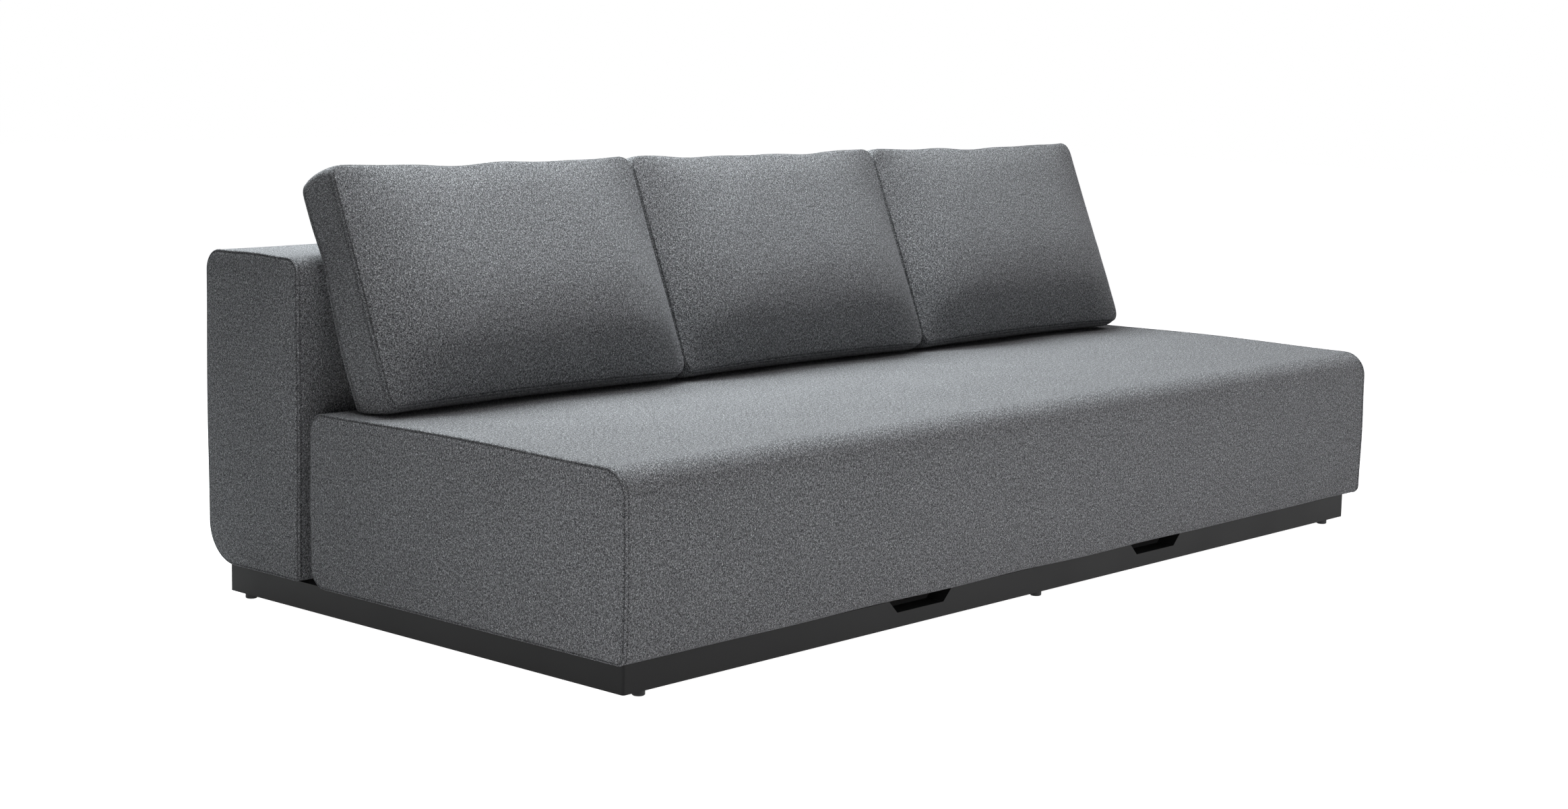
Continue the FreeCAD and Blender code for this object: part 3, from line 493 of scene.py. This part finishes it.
def block_outline(low, high, radii, crowns, step):
    """End outline of a block: four sides joined by four arcs, walked up the front, back over the top,
    down the rear and forward underneath. Each side swells by its crown as a squared sine.
    Returns points (y, z), outward normals and the distance walked, as arrays."""
    (y0, z0), (y1, z1) = low, high
    fb, ft, rt, rb = radii
    starts = np.array([(y0, z0 + fb), (y0 + ft, z1), (y1, z1 - rt), (y1 - rb, z0)])
    ends = np.array([(y0, z1 - ft), (y1 - rt, z1), (y1, z0 + rb), (y0 + fb, z0)])
    facing = np.array([(-1.0, 0.0), (0.0, 1.0), (1.0, 0.0), (0.0, -1.0)])
    centres = np.array([(y0 + ft, z1 - ft), (y1 - rt, z1 - rt), (y1 - rb, z0 + rb), (y0 + fb, z0 + fb)])
    turns = np.array([np.pi, np.pi / 2, 0.0, -np.pi / 2])
    points, normals = [], []
    for side, radius in enumerate((ft, rt, rb, fb)):
        count = max(6, int(np.linalg.norm(ends[side] - starts[side]) / step))
        share = np.linspace(0, 1, count, endpoint=False)[:, None]
        swell = crowns[side] * np.sin(np.pi * share) ** 2
        points.append(starts[side] + share * (ends[side] - starts[side]) + swell * facing[side])
        normals.append(np.repeat(facing[side][None], len(share), 0))
        angle = turns[side] - np.linspace(0, np.pi / 2, max(6, int(radius * 1.6 / step * 2)), endpoint=False)
        arc = np.column_stack([np.cos(angle), np.sin(angle)])
        points.append(centres[side] + radius * arc)
        normals.append(arc)
    points, normals = np.concatenate(points), np.concatenate(normals)
    gaps = np.linalg.norm(np.roll(points, -1, 0) - points, axis=1)
    return points, normals, np.concatenate([[0.0], np.cumsum(gaps)])


# The cover's run from the band, over the topstitch and into the seam, then out over the end panel:
# how far each line stands in from the block's end, how deep it lies under the outline, and its two masks, which lay
# painted shade in the seam's groove and along the topstitch.
SEAM_RUN = np.array([
    (0.0600, 0.0000, 0.0, 0.0),
    (0.0300, 0.0000, 0.0, 0.0),
    (0.0150, 0.0000, 0.0, 0.0),
    (0.0100, 0.0001, 0.0, 0.1),
    (0.0080, 0.0013, 0.0, 1.0),
    (0.0064, 0.0001, 0.0, 0.2),
    (0.0046, -0.0007, 0.0, 0.0),
    (0.0028, -0.0002, 0.0, 0.0),
    (0.0015, 0.0012, 0.25, 0.0),
    (0.0021, 0.0030, 1.0, 0.0),
    (0.0014, 0.0043, 0.45, 0.0),
    (0.0006, 0.0058, 0.05, 0.0),
])
BAND_LINES = 9
# How far each further line of an end panel is drawn towards the panel's middle.
PANEL_SHARES = np.concatenate([[0.012, 0.03], 1 - np.linspace(0.95, 0.04, 15) ** 1.3])
RIPPLE_START, RIPPLE_REACH = 0.012, 0.12
END_MAP_SHIFT = 3.0


def cloth_mesh(name, places, quads, corner_map, triangles, triangle_map, seam, stitch, finish):
    """A smooth mesh of quads and triangles with a cloth map in metres and the seam and stitch masks."""
    mesh = bpy.data.meshes.new(name)
    mesh.from_pydata(places.tolist(), [], quads.tolist() + triangles.tolist())
    on_cloth = np.concatenate([corner_map.ravel(), triangle_map.ravel()]).astype(np.float32)
    mesh.uv_layers.new(name="cloth").uv.foreach_set("vector", on_cloth)
    for label, values in (("seam", seam), ("stitch", stitch)):
        mesh.attributes.new(label, "FLOAT", "POINT").data.foreach_set("value", values.astype(np.float32))
    mesh.polygons.foreach_set("use_smooth", np.ones(len(mesh.polygons), bool))
    mesh.materials.append(finish)
    mesh.validate()
    return new_object(name, mesh)


def upholstered_block(name, low, high, radii, crowns, half_length, end_swell, ripple):
    """The outline carried along X from one end panel's middle to the other's. A line is the outline set in by its
    depth and drawn towards the middle by its share; gentle waves of two sines each give the padding's unevenness."""
    outline, normals, walked = block_outline(low, high, radii, crowns, PROFILE_STEP)
    middle = (np.array(low) + np.array(high)) / 2
    inner = half_length - SEAM_RUN[0, 0]
    along = np.linspace(-inner, inner, int(2 * inner / LENGTH_STEP))[1:-1]
    panel_x = half_length + end_swell * (1 - (1 - PANEL_SHARES) ** 4)
    side_x = np.concatenate([half_length - SEAM_RUN[:, 0], panel_x])
    line_x = np.concatenate([-side_x[::-1], along, side_x])
    on_run, on_panel, on_band = np.zeros(len(SEAM_RUN)), np.zeros(len(PANEL_SHARES)), np.zeros(len(along))
    panel_depth = np.full(len(PANEL_SHARES), SEAM_RUN[-1, 1])
    sides = [
        np.concatenate(halves)
        for halves in (
            (SEAM_RUN[:, 1], panel_depth), (on_run, PANEL_SHARES),
            (SEAM_RUN[:, 2], on_panel), (SEAM_RUN[:, 3], on_panel),
        )
    ]
    depth, share, seam_line, stitch_line = (np.concatenate([side[::-1], on_band, side]) for side in sides)
    fade = np.clip((half_length - RIPPLE_START - np.abs(line_x)) / RIPPLE_REACH, 0, 1)[:, None]
    s = walked[:-1][None]
    x = line_x[:, None]
    turn = 2 * np.pi * s / walked[-1]
    waves = np.sin(7.9 * x + 2 * turn) * np.sin(4.3 * x - 3 * turn + 1.1) + 0.6 * np.sin(15.7 * x + 5 * turn + 0.4)
    out = ripple * waves * fade - depth[:, None]
    grid = outline[None] + out[..., None] * normals[None]
    grid = middle + (grid - middle) * (1 - share)[:, None, None]
    rows, columns = len(line_x), len(outline)
    places = np.concatenate([
        np.dstack([np.repeat(x, columns, 1), grid]).reshape(-1, 3),
        [(-half_length - end_swell, *middle), (half_length + end_swell, *middle)],
    ])
    row, column = np.meshgrid(np.arange(rows - 1), np.arange(columns), indexing="ij")
    row_of = np.stack([row, row + 1, row + 1, row], -1).reshape(-1, 4)
    step_of = np.stack([column, column, column + 1, column + 1], -1).reshape(-1, 4)
    quads = row_of * columns + step_of % columns
    band_map = np.stack([line_x[row_of], walked[step_of]], -1)
    end_map = places[quads][..., 1:] + END_MAP_SHIFT
    first_band, last_band = len(side_x) - BAND_LINES, rows - 1 - (len(side_x) - BAND_LINES)
    is_band = ((row_of[:, 0] >= first_band) & (row_of[:, 1] <= last_band))[:, None, None]
    corner_map = np.where(is_band, band_map, end_map)
    ring = np.arange(columns)
    ring_after = (ring + 1) % columns
    last_row = (rows - 1) * columns
    pole = rows * columns
    triangles = np.concatenate([
        np.column_stack([np.full(columns, pole), ring, ring_after]),
        np.column_stack([last_row + ring, np.full(columns, pole + 1), last_row + ring_after]),
    ])
    triangle_map = places[triangles][..., 1:] + END_MAP_SHIFT
    seam = np.concatenate([np.repeat(seam_line, columns), [0.0, 0.0]])
    stitch = np.concatenate([np.repeat(stitch_line, columns), [0.0, 0.0]])
    return cloth_mesh(name, places, quads, corner_map, triangles, triangle_map, seam, stitch, grey_weave)


seat_low, seat_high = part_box("seat_cover")
SEAT_RADII = (0.016, 0.050, 0.035, 0.038)
SEAT_CROWNS = (0.002, 0.004, 0.002, 0.0)
seat_upholstery = upholstered_block(
    "seat_upholstery", seat_low[1:], seat_high[1:], SEAT_RADII, SEAT_CROWNS, seat_high[0], 0.004, 0.0009
)
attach(seat_upholstery, "seat")
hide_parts("seat_cover", "seat_foam")

# Back block: the same cover and seams over a thinner foam wrap, fixed upright on the plinth behind the seat.
# Its lower rear edge is cut away in a wide curve.
back_low, back_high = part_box("back_cover")
BACK_RADII = (0.008, 0.028, 0.038, 0.075)
BACK_CROWNS = (0.002, 0.002, 0.003, 0.0)
back_upholstery = upholstered_block(
    "back_upholstery", back_low[1:], back_high[1:], BACK_RADII, BACK_CROWNS, back_high[0], 0.004, 0.0008
)
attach(back_upholstery, "base")
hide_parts("back_cover", "back_foam")

# Back cushions: three loose boxed cushions, each a front and a rear panel sewn to a gusset all the way round,
# filled with fibre. They lean on the back block's top edge and stand on the seat, flat where they rest.
CUSHION_TILT = np.radians(22.2)
CUSHION_WIDTH = 0.7325
CUSHION_FACE = 0.443
CUSHION_GUSSET = 0.097
CUSHION_CORNER = 0.025
SIDE_DRAW, EDGE_DRAW = 0.0018, 0.006
CUSHION_CENTRES = {"left": -0.734, "middle": 0.0, "right": 0.734}
FRONT_SEAM_FOOT = (0.0787, 0.4026)
SEAT_TOP = 0.3806
REST_EASE = 0.005
BELLY_HEIGHTS = [0.0, 0.05, 0.10, 0.15, 0.20, 0.25, 0.30, 0.36, 0.42, 0.50, 0.62, 0.88, 0.94, 1.0]
BELLY_SLOPES = [1.12, 0.84, 0.60, 0.41, 0.27, 0.17, 0.09, 0.02, -0.04, -0.09, -0.12, -0.14, -0.17, -0.28]
SIDE_ROLL, FOOT_ROLL, HEAD_ROLL = 0.14, 0.16, 0.07
GUSSET_SWELL = 0.008
REAR_CROWN = 0.008
LEAN_AT, LEAN_WIDTH, LEAN_DENT = 0.29, 0.05, 0.007
REAR_BELLY_AT, REAR_BELLY_WIDTH, REAR_BELLY = 0.13, 0.08, 0.006
BACK_CLEAR, BACK_REACH = 0.0012, 0.06
SIDE_PLAY = 0.0004
SWELL_CAP = 0.007
SWELL_STEPS = 20
WAVE, REAR_WAVE = 0.0012, 0.6
PUCKER, PUCKER_REACH, PUCKER_START = 0.0008, 0.030, 0.008
SEAM_SINK, STITCH_SINK = 0.0020, 0.0008
REAR_MAP_SHIFT, GUSSET_MAP_SHIFT = 2.0, 5.0
CUSHION_STEP = 0.0135
SEAM_SPACING = np.array([0.0, 0.0022, 0.0046, 0.0080, 0.0140, 0.0230])
CUSHION_MOODS = {"left": (0.3, 1.00), "middle": (2.1, 0.94), "right": (4.4, 0.97)}


def seam_spaced(half, step):
    """Places from -half to half, close together beside the two seams and even between them."""
    inner = half - SEAM_SPACING[-1]
    even = np.linspace(-inner, inner, int(2 * inner / step))[1:-1]
    return np.concatenate([-half + SEAM_SPACING, even, half - SEAM_SPACING[::-1]])


def roll_off(distance, reach):
    """Rises from 0 on a seam to 1 at the reach, steepest at the seam, as one minus a falling power."""
    return 1 - (1 - np.clip(distance / reach, 0, 1)) ** 2.0


def swell_cloth(cushion, places, held):
    """Fills the cushion with air pressure as a cloth, with the seam lines held, and returns the swollen places.
    No point goes further than the cap."""
    group = cushion.vertex_groups.new(name="seam_hold")
    group.add(np.flatnonzero(held).tolist(), 1.0, "REPLACE")
    cloth = cushion.modifiers.new("cloth", "CLOTH")
    cloth.settings.quality = 4
    cloth.settings.mass = 0.3
    cloth.settings.tension_stiffness = 12
    cloth.settings.compression_stiffness = 12
    cloth.settings.shear_stiffness = 5
    cloth.settings.bending_stiffness = 0.6
    cloth.settings.use_pressure = True
    cloth.settings.uniform_pressure_force = 4
    cloth.settings.vertex_group_mass = "seam_hold"
    cloth.settings.effector_weights.gravity = 0
    cloth.point_cache.frame_start = 1
    cloth.point_cache.frame_end = SWELL_STEPS
    for step in range(1, SWELL_STEPS + 1):
        scene.frame_set(step)
    shown = cushion.evaluated_get(bpy.context.evaluated_depsgraph_get())
    swollen = np.empty(len(places) * 3, np.float32)
    shown.data.vertices.foreach_get("co", swollen)
    moved = swollen.reshape(-1, 3).astype(float) - places
    far = np.linalg.norm(moved, axis=1, keepdims=True)
    moved *= np.minimum(1.0, SWELL_CAP * np.tanh(far / SWELL_CAP) / np.maximum(far, 1e-9))
    cushion.modifiers.remove(cloth)
    cushion.vertex_groups.remove(group)
    scene.frame_set(1)
    return places + moved


def stood_up(spots, centre):
    """Turns (across, up, out) into world places on the tilted cushion."""
    sine, cosine = np.sin(CUSHION_TILT), np.cos(CUSHION_TILT)
    return np.column_stack([
        spots[:, 0] + centre,
        FRONT_SEAM_FOOT[0] + spots[:, 1] * sine - spots[:, 2] * cosine,
        FRONT_SEAM_FOOT[1] + spots[:, 1] * cosine + spots[:, 2] * sine,
    ])


def rested(spots, centre):
    """Presses the underside flat on the seat and keeps the sides and rear off their neighbours."""
    spots = spots.copy()
    over_seat = spots[:, 2] - SEAT_TOP - REST_EASE
    pressed = REST_EASE * (np.exp(np.minimum(over_seat, 0) / REST_EASE) - 1)
    spots[:, 2] = SEAT_TOP + REST_EASE + np.where(over_seat < 0, pressed, over_seat)
    edge_y, edge_z = back_low[1] + BACK_RADII[1], back_high[2] - BACK_RADII[1]
    off_y, off_z = np.minimum(spots[:, 1] - edge_y, 0), np.maximum(spots[:, 2] - edge_z, 0)
    near = np.hypot(off_y, off_z)
    too_near = np.maximum(BACK_RADII[1] + BACK_CLEAR - near, 0) / np.maximum(near, 1e-6)
    push = np.where(spots[:, 1] > edge_y - BACK_REACH, too_near, 0)
    spots[:, 1] += push * off_y
    spots[:, 2] += push * off_z
    widest = CUSHION_WIDTH / 2 + SIDE_PLAY
    spots[:, 0] = centre + np.clip(spots[:, 0] - centre, -widest, widest)
    return spots


def cushion_panels(mood, fill):
    """Front and rear panels on one grid of (across, up), as places (across, up, out).
    A row's half width follows the rounded corners, and each side draws in by a parabola between its corners.
    The front's belly adds up a table of slopes from the foot to the head."""
    half_w, half_h = CUSHION_WIDTH / 2, CUSHION_FACE / 2
    columns, rows = seam_spaced(half_w, CUSHION_STEP), seam_spaced(half_h, CUSHION_STEP)
    p, v = np.meshgrid(columns / half_w, rows, indexing="ij")
    q = v / half_h
    into_corner = np.clip(np.abs(v) - (half_h - CUSHION_CORNER), 0, CUSHION_CORNER)
    row_half = half_w - CUSHION_CORNER + np.sqrt(CUSHION_CORNER**2 - into_corner**2) - SIDE_DRAW * (1 - q**2)
    flat_x = p * row_half
    flat_u = v - EDGE_DRAW * q * (1 - p**2) + half_h
    dips = 0.0018 * np.sin(19.0 * flat_x + mood) + 0.0014 * np.sin(33.0 * flat_x + 2.7 * mood)
    flat_u = flat_u + np.clip(q, 0, 1) ** 2 * dips * (1 - p**4)
    stations = np.linspace(0, 1, 400)
    slopes = np.interp(stations, BELLY_HEIGHTS, BELLY_SLOPES)
    profile = CUSHION_FACE * np.concatenate([[0.0], np.cumsum((slopes[1:] + slopes[:-1]) / 2 / 399)])
    belly = np.interp((1 + q) / 2, stations, profile - stations * profile[-1])
    from_side, from_end = (1 - np.abs(p)) * half_w, (1 - np.abs(q)) * half_h
    side_roll = roll_off(from_side, SIDE_ROLL)
    side_waves = np.sin(82.0 * flat_u + mood + p) + 0.7 * np.sin(131.0 * flat_u + 2 * mood)
    end_waves = np.sin(74.0 * flat_x + 2 * mood) + 0.7 * np.sin(117.0 * flat_x + mood + q)
    puckers = np.exp(-from_side / PUCKER_REACH) * side_waves + np.exp(-from_end / PUCKER_REACH) * end_waves
    wave = WAVE * (1 - p**8) * np.sin(14.0 * flat_x + 3 * mood) * q
    wave = wave + PUCKER * puckers * np.minimum(np.minimum(from_side, from_end) / PUCKER_START, 1)
    front = np.dstack([flat_x, flat_u, fill * belly * side_roll + wave])
    rear_dome = side_roll * roll_off((1 + q) * half_h, FOOT_ROLL) * roll_off((1 - q) * half_h, HEAD_ROLL)
    dent = LEAN_DENT * np.exp(-(((flat_u - LEAN_AT) / LEAN_WIDTH) ** 2))
    bulge = REAR_BELLY * np.exp(-(((flat_u - REAR_BELLY_AT) / REAR_BELLY_WIDTH) ** 2))
    rear = np.dstack([flat_x, flat_u, -CUSHION_GUSSET - REAR_CROWN * rear_dome + dent - bulge + REAR_WAVE * wave])
    return front, rear


def boxed_cushion(side):
    """The two panels, joined round their edge by the gusset, stood up, swollen and sunk along the seams."""
    name = "back_cushion_" + side
    centre = CUSHION_CENTRES[side]
    front, rear = cushion_panels(*CUSHION_MOODS[side])
    n_c, n_r = front.shape[:2]
    index = np.arange(n_c * n_r).reshape(n_c, n_r)
    edge = np.concatenate([index[:, 0], index[-1, 1:], index[-2::-1, -1], index[0, -2:0:-1]])
    depth_lines = (seam_spaced(CUSHION_GUSSET / 2, CUSHION_STEP) / CUSHION_GUSSET + 0.5)[1:-1]
    front_flat, rear_flat = front.reshape(-1, 3), rear.reshape(-1, 3)
    gusset = front_flat[edge][None] + depth_lines[:, None, None] * (rear_flat[edge] - front_flat[edge])[None]
    ahead_of, behind = np.roll(front_flat[edge], -1, 0)[:, :2], np.roll(front_flat[edge], 1, 0)[:, :2]
    tangent = (ahead_of - behind) / np.linalg.norm(ahead_of - behind, axis=1, keepdims=True)
    outward = np.column_stack([tangent[:, 1], -tangent[:, 0]])
    gusset[..., :2] += GUSSET_SWELL * (4 * depth_lines * (1 - depth_lines))[:, None, None] * outward[None]
    local = np.concatenate([front_flat, rear_flat, gusset.reshape(-1, 3)])
    count = n_c * n_r
    total = len(edge)
    gusset_index = 2 * count + np.arange(len(depth_lines) * total).reshape(-1, total)
    belt = np.vstack([edge, gusset_index, edge + count])
    after = np.roll(belt, -1, 1)
    panel = np.stack([index[:-1, :-1], index[1:, :-1], index[1:, 1:], index[:-1, 1:]], -1).reshape(-1, 4)
    band = np.stack([belt[:-1], belt[1:], after[1:], after[:-1]], -1).reshape(-1, 4)
    quads = np.concatenate([panel, panel[:, ::-1] + count, band])
    run = np.linalg.norm(np.diff(front_flat[np.append(edge, edge[0])], axis=0), axis=1)
    walked = np.concatenate([[0.0], np.cumsum(run)])
    lines, spots = np.meshgrid(np.arange(len(belt) - 1), np.arange(total), indexing="ij")
    line_of = np.stack([lines, lines + 1, lines + 1, lines], -1).reshape(-1, 4)
    spot_of = np.stack([spots, spots, spots + 1, spots + 1], -1).reshape(-1, 4)
    depth_at = np.concatenate([[0.0], depth_lines, [1.0]]) * CUSHION_GUSSET
    band_map = np.stack([walked[spot_of], depth_at[line_of]], -1) + GUSSET_MAP_SHIFT
    rear_map = local[panel[:, ::-1]][..., :2] + REAR_MAP_SHIFT
    corner_map = np.concatenate([local[panel][..., :2], rear_map, band_map])
    on_seam = np.zeros(len(local), bool)
    on_seam[edge] = True
    on_seam[edge + count] = True
    seam = on_seam.astype(float)
    stitch = np.zeros(len(local))
    stitch[gusset_index[2]] = 1.0
    stitch[gusset_index[-3]] = 1.0
    no_triangles, no_map = np.zeros((0, 3), int), np.zeros((0, 3, 2))
    swollen = rested(stood_up(local, centre), centre)
    cushion = cloth_mesh(name, swollen, quads, corner_map, no_triangles, no_map, seam, stitch, grey_weave)
    swollen = rested(swell_cloth(cushion, swollen, on_seam), centre)
    cushion.data.vertices.foreach_set("co", swollen.astype(np.float32).ravel())
    cushion.data.update()
    facing = np.empty(len(local) * 3, np.float32)
    cushion.data.vertices.foreach_get("normal", facing)
    sunk = SEAM_SINK * seam + STITCH_SINK * stitch
    swollen = rested(swollen - sunk[:, None] * facing.reshape(-1, 3), centre)
    cushion.data.vertices.foreach_set("co", swollen.astype(np.float32).ravel())
    cushion.data.update()
    smooth = cushion.modifiers.new("smooth", "SUBSURF")
    smooth.levels = smooth.render_levels = 1
    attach(cushion, "cushion_" + side)
    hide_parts("cushion_cover_" + side, "cushion_fill_" + side)
    return cushion


boxed_cushion("left")
boxed_cushion("middle")
boxed_cushion("right")
